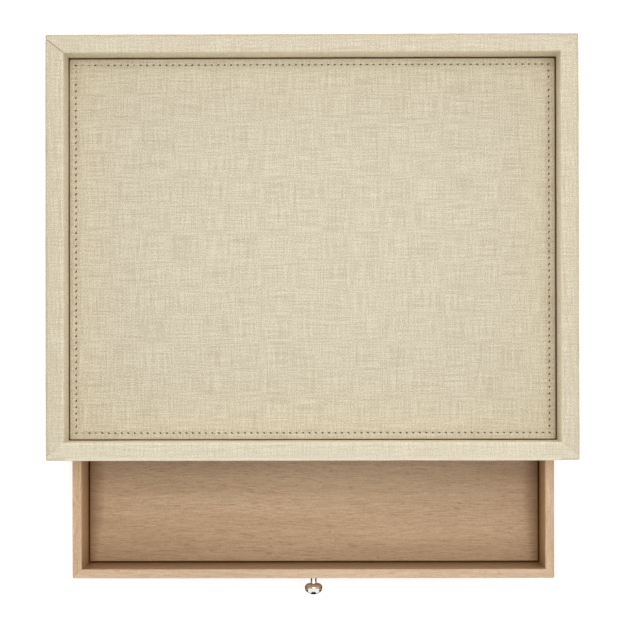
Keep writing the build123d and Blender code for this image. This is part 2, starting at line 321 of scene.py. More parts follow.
# each board's grain, how strong its strands are, and the painted shade on its inner face
plainBoard = {"light": (0.772, 0.555, 0.364), "dark": (0.528, 0.342, 0.203), "shade": (0.75, 0.64, 0.44),
              "strands": 0.95}
boards = {
    "drawer_front": {**plainBoard, "name": "beechAcross", "turn": 0, "start": (0.31, 0.17, 0.05),
                     "light": (0.766, 0.550, 0.372), "dark": (0.558, 0.370, 0.236),
                     "shade": (0.413, 0.296, 0.151)},
    "drawer_back": {**plainBoard, "name": "beechBack", "turn": 0, "start": (0.9, 1.4, 0.2)},
    "drawer_left_side": {**plainBoard, "name": "beechLeft", "turn": 90, "start": (0.12, 0.55, 0.3)},
    "drawer_right_side": {**plainBoard, "name": "beechRight", "turn": 90, "start": (0.77, 0.05, 0.8),
                          "shade": (0.68, 0.58, 0.36)},
    "drawer_bottom": {**plainBoard, "name": "beechFloor", "turn": 0, "start": (0.02, 0.63, 0.0),
                      "light": (0.818, 0.597, 0.370), "dark": (0.550, 0.350, 0.196), "strands": 0.475},
}


def woodMaterial(board):
    material, tree, inputs = newMaterial(board["name"], wood["shader"])
    where = signal(tree, "ShaderNodeTexCoord", "Object")
    lay = signal(tree, "ShaderNodeMapping", "Vector",
                 {"Vector": where, "Rotation": (0, 0, radians(board["turn"])), "Location": board["start"]})
    tone, fleck, height = useGroup(beechGroup, lay, Strands=board["strands"])
    wall, edge, gap = useGroup(drawerShadeGroup, where)
    colour = blended(tone, board["dark"], board["light"])
    colour = blended(fleck * wood["fleckShare"], colour, wood["fleck"])
    # painted shade on the inner faces, on the floor's edges and in the gap round the floor
    colour = blended(wall, colour, board["shade"], "MULTIPLY")
    colour = blended(edge, colour, wood["edgeShade"], "MULTIPLY")
    feed(blended(gap, colour, wood["gap"]), inputs["Base Color"])
    feed(gap * wood["gapDust"] + wood["shader"]["Roughness"], inputs["Roughness"])
    addBump(inputs, height, *wood["bump"])
    return material


# raw board, felt, suede and steel: one colour broken by a fine even grain
plainNoise = {"octaves": 4.0, "rough": 0.65, "span": (0.3, 0.7), "specular": 0.3, "relief": 0.4}
# light and dark colour, size of the grain, roughness, bump, metallic, and the nodes that have the finish
plainFinishes = {
    "rawFibreboard": ((0.36, 0.23, 0.13), (0.24, 0.15, 0.085), 1.1 * mm, 0.85, 0.3, 0.0,
                      ["left_side_board", "right_side_board", "back_board", "front_rail_board",
                       "tray_floor_board", "base_board"]),
    "greyBoard": ((0.30, 0.29, 0.27), (0.21, 0.20, 0.19), 0.8 * mm, 0.9, 0.3, 0.0, ["pad_board"]),
    "tanFelt": ((0.25, 0.17, 0.095), (0.15, 0.10, 0.055), 0.7 * mm, 0.95, 0.6, 0.0, ["base_felt"]),
    "suedeLining": ((0.64, 0.56, 0.42), (0.54, 0.47, 0.34), 0.9 * mm, 0.9, 0.4, 0.0,
                    ["bay_floor_lining", "bay_ceiling_lining", "bay_left_lining", "bay_right_lining",
                     "bay_back_lining"]),
    "brightSteel": ((0.60, 0.60, 0.60), (0.48, 0.48, 0.48), 0.6 * mm, 0.35, 0.1, 1.0,
                    ["carcass_brads", "knob_stud"]),
}


def plainMaterial(name, light, dark, grainSize, roughness, bump, metallic=0.0):
    material, tree, inputs = newMaterial(name, {"Roughness": roughness, "Metallic": metallic,
                                                "Specular IOR Level": plainNoise["specular"]})
    where = signal(tree, "ShaderNodeTexCoord", "Object")
    grain = grainNoise(where, (1 / grainSize,) * 3, (0, 0, 0), plainNoise["octaves"], plainNoise["rough"])
    feed(blended(grain.ranged(*plainNoise["span"]), dark, light), inputs["Base Color"])
    addBump(inputs, grain, bump, grainSize * plainNoise["relief"])
    return material


clothFinish = clothMaterial()
finishes = {name: woodMaterial(board) for name, board in boards.items()}
for finish, (*look, names) in plainFinishes.items():
    finishes.update(dict.fromkeys(names, plainMaterial(finish, *look)))
for name, material in finishes.items():
    for place in nodes[name].material_slots:
        place.material = material
print("Finishes made and given to the kept nodes")


# Mesh building

def newObject(name, data):
    thing = bpy.data.objects.new(name, data)
    bpy.context.scene.collection.objects.link(thing)
    return thing


def newPiece(name, points, faces, material, flat=None, marks=None):
    mesh = bpy.data.meshes.new(name)
    mesh.from_pydata([tuple(point) for point in points], [], faces)
    mesh.validate()
    mesh.shade_smooth()
    if flat:
        layer = mesh.uv_layers.new(name="flat")
        for loop in mesh.loops:
            layer.data[loop.index].uv = flat[loop.vertex_index]
    for label, values in (marks or {}).items():
        layer = mesh.attributes.new(label, "FLOAT", "POINT")
        layer.data.foreach_set("value", values)
    mesh.materials.append(material)
    return newObject(name, mesh)


def thickened(outer, inner, faces):
    # a closed sheet: the outer skin, the inner skin turned over, and a strip round every open edge
    count = len(outer)
    used = {(a, b) for face in faces for a, b in zip(face, face[1:] + face[:1])}
    border = [(a, b) for a, b in sorted(used) if (b, a) not in used]
    back = [tuple(point + count for point in reversed(face)) for face in faces]
    strip = [(b, a, a + count, b + count) for a, b in border]
    return outer + inner, faces + back + strip


def clothPiece(name, node, sheet, faces, cut=0.0, worn=0.0):
    # one argument lightens or darkens the whole piece as painted light and shade, and worn is how faint its threads
    # are
    points, allFaces = thickened(sheet["outer"], sheet["inner"], faces)
    count = len(sheet["outer"])
    marks = {label: sheet[label] + [0.0] * count for label in ("fold", "paintedShade", "pierced")}
    marks["cut"], marks["worn"] = [cut] * (2 * count), [worn] * (2 * count)
    piece = newPiece(name, points, allFaces, clothFinish, sheet["flat"] * 2, marks)
    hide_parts(node)
    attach(piece, "carcass")
    return piece


def evenly(low, high, step):
    # the places from low to high that are about a step apart
    count = max(1, round(abs(high - low) / step))
    return [low + (high - low) * number / count for number in range(count + 1)]


def quarterTurn(steps):
    return [radians(90 / steps * number) for number in range(1, steps + 1)]


def nearestTo(values, wanted):
    return min(range(len(values)), key=lambda number: abs(values[number] - wanted))


# The cloth over the carcass: one ring of four covers, folded over the rim and under the base.
covers = {
    "thickness": 0.95 * mm,
    "wallThickness": 11.0 * mm,
    "cornerRadius": 1.0 * mm,
    "outerFold": 1.1 * mm, "innerFold": 1.6 * mm, "foldSteps": 8,
    "hemRadius": 1.0 * mm, "hemSteps": 4,
    "step": 3.0 * mm, "rimStep": 0.9 * mm,
    "lap": 2.4 * mm,  # how far the front and back cloths wrap round the corners
    "mitreRun": 4.0 * mm,
    # stations beside a mitre seam, in shares of the cloth's last stretch
    "mitreShares": [0.2, 0.4, 0.58, 0.7, 0.79, 0.85, 0.895, 0.93, 0.96, 0.985, 1.0],
    "seamCurve": 1.3,
    "seamFade": 1.5 * mm,  # how far a seam's dip goes on down the inside
    "seamFadeFrom": 0.9,
    "ripple": 0.10 * mm, "rippleLength": 22 * mm, "rippleLevel": 0.6,
    "rippleFrom": 2 * mm,  # height above the hem
    "flapLength": 12.0 * mm,  # the edges of the bay's opening, turned in round the boards
    # the last number here is a painted highlight on the bend round the bay's opening
    "flapStep": 2.7 * mm, "flapBendSteps": 5, "flapPlay": 0.05 * mm, "flapHighlight": 0.3,
    "highlightRun": 0.5 * mm,  # how far the painted highlight of the outer fold goes on over the rim
    # the painted highlight on the outer fold stops this far from the ends of the bay's opening
    "unhighlightedEnds": 1 * mm,
    # painted shade on the outer folds that have no painted highlight
    "paintedShade": 0.32,
}
# the painted highlight on the outer and inner folds, painted light or shade over the whole cover, and how faint its
# threads are
coverLooks = {
    "front_cover": ((0.9, 0.1), 0.06, 0.22),
    "right_side_cover": ((0.0, 0.2), -0.15, 0.0),
    "back_cover": ((0.0, 0.1), -0.11, 0.14),
    "left_side_cover": ((0.0, 0.1), -0.20, 0.0),
}
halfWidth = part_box("right_side_cover")[1][0]
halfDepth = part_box("back_cover")[1][1]
(_, _, hem), (_, _, rim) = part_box("left_side_cover")
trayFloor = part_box("tray_floor_board")[1][2]
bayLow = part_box("bay_floor_lining")[1][2]
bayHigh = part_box("bay_ceiling_lining")[0][2]
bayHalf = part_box("bay_back_lining")[1][0]

# the middle of each wall's outer foot, the ways along it and inwards, its half length and its two seams
walls = {
    "front_cover": ((0, -halfDepth), (1, 0), (0, 1), halfWidth, ("frontLeft", "frontRight")),
    "right_side_cover": ((halfWidth, 0), (0, 1), (-1, 0), halfDepth, ("frontRight", "backRight")),
    "back_cover": ((0, halfDepth), (-1, 0), (0, -1), halfWidth, ("backRight", "backLeft")),
    "left_side_cover": ((-halfWidth, 0), (0, -1), (1, 0), halfDepth, ("backLeft", "frontLeft")),
}
# how deep each mitre seam sinks at the outer edge and at the inner edge of the rim, and how wide it is
seams = {
    "backLeft": (0.75 * mm, 0.70 * mm, 0.55 * mm),
    "backRight": (0.22 * mm, 0.18 * mm, 0.45 * mm),
    "frontLeft": (0.50 * mm, 0.06 * mm, 0.50 * mm),
    "frontRight": (0.14 * mm, 0.12 * mm, 0.45 * mm),
}


def coverSection(levels):
    # rows of the folded sheet from the hem under the base, up, over the rim and down inside: inset, height,
    # the outward normal's two parts, run along the cloth, share of the outer fold and of the inner fold
    wall, fold, hemBend = covers["wallThickness"], covers["outerFold"], covers["hemRadius"]
    innerFold = covers["innerFold"]
    rows = [(inset, hem, 0, -1, 0, 0) for inset in evenly(wall, hemBend, covers["step"])]
    for turn in quarterTurn(covers["hemSteps"]):
        rows.append((hemBend - sin(turn) * hemBend, hem + hemBend - cos(turn) * hemBend,
                     -sin(turn), -cos(turn), 0, 0))
    heights = [hem + hemBend] + levels + [rim - fold]
    for low, high in zip(heights, heights[1:]):
        rows += [(0, height, -1, 0, 0, 0) for height in evenly(low, high, covers["step"])[1:]]
    for turn in quarterTurn(covers["foldSteps"]):
        rows.append((fold - cos(turn) * fold, rim - fold + sin(turn) * fold,
                     -cos(turn), sin(turn), sin(turn) ** 2, 0))
    for inset in evenly(fold, wall - innerFold, covers["rimStep"])[1:]:
        rows.append((inset, rim, 0, 1, max(0.0, 1 - (inset - fold) / covers["highlightRun"]), 0))
    for turn in quarterTurn(covers["foldSteps"]):
        rows.append((wall - innerFold + sin(turn) * innerFold, rim - innerFold + cos(turn) * innerFold,
                     sin(turn), cos(turn), 0, sin(2 * turn)))
    rows += [(wall, height, 1, 0, 0, 0) for height in evenly(rim - innerFold, trayFloor, covers["step"])[1:]]
    run = 0
    measured = []
    for before, row in zip(rows[:1] + rows, rows):
        run += dist(row[:2], before[:2])
        measured.append((*row[:4], run, *row[4:]))
    return measured


def mitreLength(wall, inset):
    # from the last even station to the seam: the front and back cloths reach past the corner
    arc = max(covers["cornerRadius"] - inset, 0) * pi / 4
    lap = covers["lap"] * max(0.0, 1 - inset / covers["wallThickness"])
    return covers["mitreRun"] + arc + (lap if wall in ("front_cover", "back_cover") else -lap)


def coverPoint(wall, inset, height, place):
    # a point of the ring, with square corners inside and rounded corners outside
    (middleX, middleY), along, inward, half, _ = walls[wall]
    corner, mitreRun = covers["cornerRadius"], covers["mitreRun"]
    side, share = place
    turned = max(inset, corner)
    if side == 0:
        run, sunk = share * (half - turned - mitreRun), inset
    else:
        bend = max(corner - inset, 0)
        distance = share * mitreLength(wall, inset) - mitreRun
        if distance <= 0:
            run, sunk = half - turned + distance, inset
        elif distance < bend * pi / 2:
            run = half - corner + bend * sin(distance / bend)
            sunk = corner - bend * cos(distance / bend)
        else:
            run, sunk = half - inset, turned + distance - bend * pi / 2
        run *= side
    return Vector((middleX + along[0] * run + inward[0] * sunk, middleY + along[1] * run + inward[1] * sunk,
                   height))


def straightLength(wall, inset=0.0):
    return walls[wall][3] - max(inset, covers["cornerRadius"]) - covers["mitreRun"]


def coverPlaces(wall, stops):
    # stations along the wall: which end they belong to (0 between them), and their share of that stretch
    straight = straightLength(wall)
    shares = [-1] + [stop / straight for stop in stops] + [1]
    places = []
    for low, high in zip(shares, shares[1:]):
        places += [(0, share) for share in evenly(low, high, covers["step"] / straight)[:-1]]
    places.append((0, 1))
    mitre = covers["mitreShares"]
    return [(-1, share) for share in reversed(mitre)] + places + [(1, share) for share in mitre]


def runAlong(wall, inset, place):
    # how far along the cloth a station lies, for the weave
    straight = straightLength(wall, inset)
    side, share = place
    return share * straight if side == 0 else side * (straight + share * mitreLength(wall, inset))


def seamDip(wall, place, inset, height):
    side, share = place
    if side == 0:
        return 0
    outside, inside, width = seams[walls[wall][4][0 if side < 0 else 1]]
    distance = (1 - share) * mitreLength(wall, inset)
    if distance >= width:
        return 0
    across = inset / covers["wallThickness"]
    fade = 1 - min(1, (rim - height) / covers["seamFade"]) if across > covers["seamFadeFrom"] else 1
    return (outside + (inside - outside) * across) * (1 - distance / width) ** covers["seamCurve"] * fade


def coverSheet(wall, section, places):
    # the cloth's two skins column by column, where each point lies on the flat cloth, and its wear
    sheet = {"outer": [], "inner": [], "flat": [], "fold": [], "paintedShade": []}
    highlightOut, highlightIn = coverLooks[wall][0]
    back = covers["thickness"]
    for place in places:
        for inset, height, across, up, run, outerFold, innerFold in section:
            point = coverPoint(wall, inset, height, place)
            sunk = seamDip(wall, place, inset, height)
            if height > hem + covers["rippleFrom"]:
                swell = noise.noise(point / covers["rippleLength"]) - covers["rippleLevel"]
                sunk -= covers["ripple"] * min(swell, 0)
            sheet["outer"].append(coverPoint(wall, inset - across * sunk, height - up * sunk, place))
            sheet["inner"].append(coverPoint(wall, inset - across * back, height - up * back, place))
            sheet["flat"].append((runAlong(wall, inset, place), run))
            # the front's outer fold gets a painted highlight over the opening and other outer folds painted shade;
            # inner folds get a painted highlight
            highlight = highlightOut if abs(point.x) < bayHalf - covers["unhighlightedEnds"] else 0.0
            sheet["fold"].append(outerFold * highlight + innerFold * highlightIn)
            sheet["paintedShade"].append(0.0 if highlight else outerFold * covers["paintedShade"])
    return sheet


def addFlaps(sheet, wide, columns, rows, bend):
    # the cloth round the bay's opening, turned in through a bend; gives the new faces
    (columnLow, columnHigh), (rowLow, rowHigh) = columns, rows
    loop = [(column, rowLow) for column in range(columnLow, columnHigh)]
    loop += [(columnHigh, row) for row in range(rowLow, rowHigh)]
    loop += [(column, rowHigh) for column in range(columnHigh, columnLow, -1)]
    loop += [(columnLow, row) for row in range(rowHigh, rowLow, -1)]
    ring = [column * wide + row for column, row in loop]
    middle = (bayLow + bayHigh) / 2
    halfHigh, halfLong = (bayHigh - bayLow) / 2 + bend, bayHalf + bend
    turned = [(bend * sin(turn), bend - bend * cos(turn), turn) for turn in quarterTurn(covers["flapBendSteps"])]
    runs = evenly(0, covers["flapLength"] - bend, covers["flapStep"])[1:]
    turned += [(bend, bend + run, pi / 2) for run in runs]
    outer, inner, flat, back = sheet["outer"], sheet["inner"], sheet["flat"], covers["thickness"]
    faces, previous, travelled, last = [], ring, 0, (0, 0)
    for inset, depth, turn in turned:
        travelled += dist((inset, depth), last)
        last = (inset, depth)
        current = list(range(len(outer), len(outer) + len(ring)))
        skins = ((outer, inset, depth), (inner, inset - sin(turn) * back, depth + cos(turn) * back))
        for (column, row), index in zip(loop, ring):
            edge = outer[index]
            for skin, gap, far in skins:
                skin.append(Vector((edge.x * (halfLong - gap) / halfLong, -halfDepth + far,
                                    middle + (edge.z - middle) * (halfHigh - gap) / halfHigh)))
            fromX = {columnLow: 1, columnHigh: -1}.get(column, 0)
            fromZ = {rowLow: 1, rowHigh: -1}.get(row, 0)
            flat.append((flat[index][0] + fromX * travelled, flat[index][1] + fromZ * travelled))
            sheet["fold"].append(covers["flapHighlight"] * sin(2 * turn))
            sheet["paintedShade"].append(0.0)
        for number in range(len(ring)):
            after = (number + 1) % len(ring)
            faces.append((previous[number], previous[after], current[after], current[number]))
        previous = current
    return faces


def buildCover(wall):
    bend = covers["thickness"] + covers["flapPlay"]
    levels, stops, columns, rows, flaps = [], [], (0, 0), (0, 0), []
    if wall == "front_cover":
        levels = [bayLow - bend, bayHigh + bend]
        stops = [-bayHalf - bend, bayHalf + bend]
    section = coverSection(levels)
    places = coverPlaces(wall, stops)
    wide = len(section)
    sheet = coverSheet(wall, section, places)
    if wall == "front_cover":
        # the rows and columns that bound the opening
        heights = [row[1] if row[0] == 0 else -1 for row in section]
        runs = [share * straightLength(wall) if side == 0 else 9 for side, share in places]
        rows = [nearestTo(heights, level) for level in levels]
        columns = [nearestTo(runs, stop) for stop in stops]
        flaps = addFlaps(sheet, wide, columns, rows, bend)
    faces = []
    for column in range(len(places) - 1):
        for row in range(wide - 1):
            if columns[0] <= column < columns[1] and rows[0] <= row < rows[1]:
                continue
            first = column * wide + row
            faces.append((first, first + wide, first + wide + 1, first + 1))
    sheet["pierced"] = [0.0] * len(sheet["outer"])
    clothPiece(wall.replace("_cover", "_cloth"), wall, sheet, faces + flaps, *coverLooks[wall][1:])


for wall in walls:
    buildCover(wall)
print("Carcass covers built")

# The pad: a thin board under the same cloth, with a stitched line near its edge.
pad = {
    "thickness": 0.95 * mm,
    # the last number is a painted highlight on the pad's fold
    "foldRadius": 1.0 * mm, "foldAngles": (15, 30, 45, 60, 75), "foldHighlight": 0.5,
    "seamInset": 3.7 * mm,
    "bandWidth": 7.0 * mm, "cornerRun": 8.0 * mm,
    "channelDepth": 0.12 * mm, "channelWidth": 0.8 * mm,
    "crown": 0.12 * mm, "edgeCrownAt": 2.0 * mm, "edgeCrownWidth": 1.0 * mm,
    "fieldFrom": 4.2 * mm, "fieldRun": 2.0 * mm, "fieldShare": 0.9,  # it rises again inside the stitches
    "swell": 0.05 * mm, "swellLength": 26 * mm,
    # slotShade sets how dark the painted shadow in a slot is
    "slotLength": 1.75 * mm, "slotWidth": 0.90 * mm, "slotDepth": 0.6 * mm, "slotSink": 1.6, "slotShade": 1.9,
    "open": (0.8, 1.0), "faintOpen": (0.25, 0.4),
    "slotMarks": (-0.85, -0.6, -0.3, 0, 0.3, 0.6, 0.85),  # stations beside each slot, in millimetres
    "overhang": 0.3 * mm,  # how far the cloth reaches over the gap on the left and in front
    "overhangReach": 6 * mm,
    "stitchesAcross": 73, "stitchesDown": 57, "tiltPlay": 9, "cornerTilt": -20,
    # painted shade along each side of the pad, strongest at its edge
    "paintedShade": {"left": 0.38, "right": 0.50, "back": 0.0, "front": 0.28},
    "shadeReach": 8.0 * mm,
    # rows from the fold inwards, and stations from the end of the straight run to the corner, in millimetres
    "rowInsets": (1.0, 1.5, 2.1, 2.6, 3.0, 3.2, 3.35, 3.5, 3.6, 3.7, 3.8, 3.9, 4.05, 4.2, 4.4, 4.8, 5.5, 6.2, 7.0),
    "cornerMarks": (4.0, 3.6, 3.2, 2.7, 2.0, 1.4, 0.9, 0.6, 0.3, 0.0),
    "cornerSpan": 4.3,
    "netStep": 9 * mm, "netMargin": 4 * mm,
}
padLow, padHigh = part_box("pad_cover")
padHalf = (padHigh[0], padHigh[1])
padTop = padHigh[2]

# each row of stitches: its count, first corner and way, its faint slots, and how far its slots are tilted
seamRows = {
    "back": (pad["stitchesAcross"], (-1, 1), (1, 0), (1, 2, 4, 9), 10),
    "right": (pad["stitchesDown"], (1, 1), (0, -1), (3, 8), -24),
    "front": (pad["stitchesAcross"], (1, -1), (-1, 0), (70, 72), -20),
    "left": (pad["stitchesDown"], (-1, -1), (0, 1), (55, 56), -24),
}
# every needle slot: its place, the way it runs and how open it is
slots = []
for count, corner, way, faint, tilt in seamRows.values():
    start = [side * (half - pad["seamInset"]) for side, half in zip(corner, padHalf)]
    length = 2 * abs(start[0] * way[0] + start[1] * way[1])
    for number in range(count):
        run = length * number / count
        play = random.uniform(-pad["tiltPlay"], pad["tiltPlay"])
        turn = atan2(way[1], way[0]) + radians(tilt + play + (pad["cornerTilt"] if number == 0 else 0))
        opened = random.uniform(*pad["faintOpen" if number in faint else "open"])
        place = Vector((start[0] + way[0] * run, start[1] + way[1] * run, 0))
        slots.append((place, (cos(turn), sin(turn)), opened))
slotTree = kdtree.KDTree(len(slots))
for number, slot in enumerate(slots):
    slotTree.insert(slot[0], number)
slotTree.balance()


def slotAt(point, slot):
    # how far a point lies inside a slot: 1 in its middle, 0 outside
    place, (runX, runY), opened = slot
    offset = point - place
    lengthwise = (offset.x * runX + offset.y * runY) / (pad["slotLength"] / 2)
    across = (offset.x * runY - offset.y * runX) / (pad["slotWidth"] / 2)
    return max(0.0, 1 - lengthwise ** 2 - across ** 2) * opened


def padSurface(x, y):
    # height of the pad's top and how pierced it is there
    spot = Vector((x, y, 0))
    edge = min(padHalf[0] - abs(x), padHalf[1] - abs(y))
    atEdge = exp(-((edge - pad["edgeCrownAt"]) / pad["edgeCrownWidth"]) ** 2)
    inField = (1 - exp(-(max(edge - pad["fieldFrom"], 0) / pad["fieldRun"]) ** 2)) * pad["fieldShare"]
    inChannel = exp(-((edge - pad["seamInset"]) / pad["channelWidth"]) ** 2)
    height = padTop + pad["crown"] * (atEdge + inField - 1) - pad["channelDepth"] * inChannel
    height -= pad["swell"] * (0.5 + 0.5 * noise.noise(spot / pad["swellLength"]))
    near = slotTree.find_range(spot, pad["slotLength"] / 2)
    pierced = max([slotAt(spot, slots[number]) for _, number, _ in near], default=0.0)
    return height - pad["slotDepth"] * min(1, pierced * pad["slotSink"]), min(1.0, pierced * pad["slotShade"])


def padProfile():
    # rows from the pad's foot over the fold: inset and height, or None where padSurface gives the height
    fold = pad["foldRadius"]
    rows = [(0, padLow[2]), (0, padLow[2] + 1.0 * mm), (0, padTop - fold)]
    for turn in map(radians, pad["foldAngles"]):
        rows.append((fold - cos(turn) * fold, padTop - fold + sin(turn) * fold))
    return rows + [(inset * mm, None) for inset in pad["rowInsets"]]


def padStations(count, half):
    # stations along one side: shares at the corners, and places between them that follow the slots
    straight, reach = half - pad["cornerRun"], half - pad["seamInset"]
    marks = {-straight, straight}
    for number in range(count + 1):
        middle = -reach + 2 * reach * number / count
        for offset in pad["slotMarks"]:
            if abs(middle + offset * mm) < straight - 0.1 * mm:
                marks.add(middle + offset * mm)
    corner = [1 - mark / pad["cornerSpan"] for mark in pad["cornerMarks"]]
    return ([(-1, share) for share in reversed(corner)] + [(0, mark) for mark in sorted(marks)]
            + [(1, share) for share in corner])


def bandPlace(half, side, value, inset):
    # how far along a side and how far inside its edge a station lies
    if side == 0:
        return value, inset
    fold, straight = pad["foldRadius"], half - pad["cornerRun"]
    bend = max(fold - inset, 0)
    end = half - max(inset, fold)
    distance = value * (end - straight + bend * pi / 4)
    if distance <= end - straight:
        return side * (straight + distance), inset
    turn = (distance - (end - straight)) / bend
    return side * (end + bend * sin(turn)), fold - bend * cos(turn)


def padBand(sheet):
    # the stitched band along the four sides; gives its faces
    profile, faces, back = padProfile(), [], pad["thickness"]
    wide = len(profile)
    for count, corner, way, _, _ in seamRows.values():
        half, other = padHalf if way[0] else padHalf[::-1]
        outward = (corner[0] if way[1] else 0, corner[1] if way[0] else 0)
        stations = padStations(count, half)
        first = len(sheet["outer"])
        for side, value in stations:
            for inset, height in profile:
                run, sunk = bandPlace(half, side, value, inset)
                x = way[0] * run + outward[0] * (other - sunk)
                y = way[1] * run + outward[1] * (other - sunk)
                level, pierced = padSurface(x, y) if height is None else (height, 0.0)
                x -= pad["overhang"] * max(0, 1 - (x + padHalf[0]) / pad["overhangReach"])
                y -= pad["overhang"] * max(0, 1 - (y + padHalf[1]) / pad["overhangReach"])
                drop = 0 if height is None else padTop - level
                sheet["outer"].append(Vector((x, y, level)))
                inner = [max(back - limit, min(limit - back, value)) for limit, value in zip(padHalf, (x, y))]
                sheet["inner"].append(Vector((*inner, min(level, padTop - back))))
                sheet["flat"].append((x + outward[0] * drop, y + outward[1] * drop))
                sheet["pierced"].append(pierced)
                sheet["fold"].append(pad["foldHighlight"] if height is not None and inset > 0 else 0.0)
        for column in range(len(stations) - 1):
            for row in range(wide - 1):
                low = first + column * wide + row
                faces.append((low, low + 1, low + 1 + wide, low + wide))
    return faces, wide


def padMiddle(sheet, seamRing):
    # a coarse net inside the band's last row; gives its faces
    points = sheet["outer"]
    net = [Vector((points[number].x, points[number].y)) for number in seamRing]
    insideX, insideY = (half - pad["bandWidth"] - pad["netMargin"] for half in padHalf)
    net += [Vector((x, y)) for x in evenly(-insideX, insideX, pad["netStep"])
            for y in evenly(-insideY, insideY, pad["netStep"])]
    edges = [(number, (number + 1) % len(seamRing)) for number in range(len(seamRing))]
    spots, _, triangles, origins, _, _ = geometry.delaunay_2d_cdt(net, edges, [], 1, 1e-7, True)
    placeOf = []
    for spot, origin in zip(spots, origins):
        if origin and origin[0] < len(seamRing):
            placeOf.append(seamRing[origin[0]])
            continue
        placeOf.append(len(points))
        points.append(Vector((spot.x, spot.y, padSurface(spot.x, spot.y)[0])))
        sheet["inner"].append(Vector((spot.x, spot.y, padTop - pad["thickness"])))
        sheet["flat"].append((spot.x, spot.y))
        sheet["pierced"].append(0.0)
        sheet["fold"].append(0.0)
    faces = []
    for triangle in triangles:
        corners = [placeOf[number] for number in triangle]
        a, b, c = (points[number] for number in corners)
        if (b.x - a.x) * (c.y - a.y) - (b.y - a.y) * (c.x - a.x) < 0:
            corners.reverse()
        faces.append(tuple(corners))
    return faces


# painted shade along the pad's sides, fading inwards
def padEdgeShade(spot):
    away = {"left": padHalf[0] + spot.x, "right": padHalf[0] - spot.x, "back": padHalf[1] - spot.y,
            "front": padHalf[1] + spot.y}
    return max(pad["paintedShade"][side] * max(0, 1 - away[side] / pad["shadeReach"]) for side in away)


def buildPad():
    sheet = {"outer": [], "inner": [], "flat": [], "pierced": [], "fold": []}
    faces, wide = padBand(sheet)
    # points of two sides that meet at a corner become one
    welded, firstAt = [], {}
    for number, point in enumerate(sheet["outer"]):
        welded.append(firstAt.setdefault(tuple(round(value, 6) for value in point), number))
    faces = [tuple(dict.fromkeys(welded[number] for number in face)) for face in faces]
    faces = [face for face in faces if len(face) > 2]
    seamRing = list(dict.fromkeys(welded[wide - 1::wide]))
    seamRing.sort(key=lambda number: atan2(sheet["outer"][number].y, sheet["outer"][number].x))
    faces += padMiddle(sheet, seamRing)
    used = sorted({number for face in faces for number in face})
    renumber = {number: place for place, number in enumerate(used)}
    faces = [tuple(renumber[number] for number in face) for face in faces]
    sheet = {label: [values[number] for number in used] for label, values in sheet.items()}
    sheet["paintedShade"] = [padEdgeShade(point) for point in sheet["outer"]]
    piece = clothPiece("pad_cloth", "pad_cover", sheet, faces)


buildPad()
print("Pad built")

# The stitches: a thread from each slot to the next, sunk at both ends.
thread = {
    "look": ((0.80, 0.71, 0.54), (0.60, 0.52, 0.38), 0.4 * mm, 0.6, 0.3),  # as in plainFinishes
    "radius": 0.19 * mm,
    "endShare": 0.55,  # the radius at the ends
    "inset": 0.45 * mm,  # from the middle of the slot
    "sway": 0.10 * mm, "rise": 0.15 * mm, "sink": 0.17 * mm,
    "highest": 0.15 * mm,  # under the pad's top
    "endDepth": 0.33 * mm, "endRun": 0.2,
    "steps": 7, "around": 6,
}


def buildStitching():
    points, faces = [], []
    around, steps = thread["around"], thread["steps"]
    for slot, after in zip(slots, slots[1:] + slots[:1]):
        run = (after[0] - slot[0]).normalized()
        begin = slot[0] + run * thread["inset"]
        finish = after[0] - run * thread["inset"]
        across = Vector((-run.y, run.x, 0))
        first = len(points)
        for step in range(steps + 1):
            share = step / steps
            arch = sin(pi * share)
            middle = begin.lerp(finish, share) + across * thread["sway"] * sin(pi * share * 2)
            base = padTop - thread["endDepth"]
            if thread["endRun"] < share < 1 - thread["endRun"]:
                base = padSurface(middle.x, middle.y)[0]
            middle.z = min(base, padTop - thread["highest"]) - thread["sink"] + thread["rise"] * arch
            radius = thread["radius"] * (thread["endShare"] + (1 - thread["endShare"]) * arch)
            for turn in range(around):
                angle = 2 * pi * turn / around
                points.append(middle + across * cos(angle) * radius + Vector((0, 0, sin(angle) * radius)))
        for step in range(steps):
            for turn in range(around):
                low = first + step * around + turn
                beside = first + step * around + (turn + 1) % around
                faces.append((low, low + around, beside + around, beside))
        last = first + steps * around
        faces.append(tuple(range(first, first + around)))
        faces.append(tuple(reversed(range(last, last + around))))
    piece = newPiece("pad_stitching", points, faces, plainMaterial("creamThread", *thread["look"]))
    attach(piece, "carcass")


buildStitching()
print("Stitching built")

# The knob: turned and polished, on the drawer's front. Sizes in millimetres.
knob = {
    "footRadius": 3.0, "footThickness": 0.7, "footTaper": 0.9, "footGap": 0.02,
    "stemRadius": 1.85, "stemBend": 0.22,
    "headBack": 5.7, "shoulderRadius": 2.8, "shoulderLength": 2.6, "headRadius": 5.45,
    "browRadius": 4.2, "browBend": 0.6, "faceDome": 1.5, "length": 12.6,
    "arcSteps": 12, "domeSteps": 16, "segments": 72,
}


def arcBetween(begin, finish, toCentre, steps):
    # an arc's centre, which lies that way from its beginning, and its points
    chord = finish - begin
    radius = chord.length_squared / (2 * chord.dot(toCentre))
    centre = begin + toCentre * radius
    low, high = (atan2(end.y - centre.y, end.x - centre.x) for end in (begin, finish))
    turns = [low + (high - low) * step / steps for step in range(steps + 1)]
    return centre, [centre + Vector((cos(turn), sin(turn))) * radius for turn in turns]


def eased(points, radius, steps=4):
    # rounds the middle corners of a polyline with short curves
    out = [points[0]]
    for before, corner, after in zip(points, points[1:], points[2:]):
        first, last = (corner.lerp(other, min(0.5, radius / (other - corner).length)) for other in (before, after))
        for share in (step / steps for step in range(steps + 1)):
            out.append(first.lerp(corner, share).lerp(corner.lerp(last, share), share))
    return out + [points[-1]]


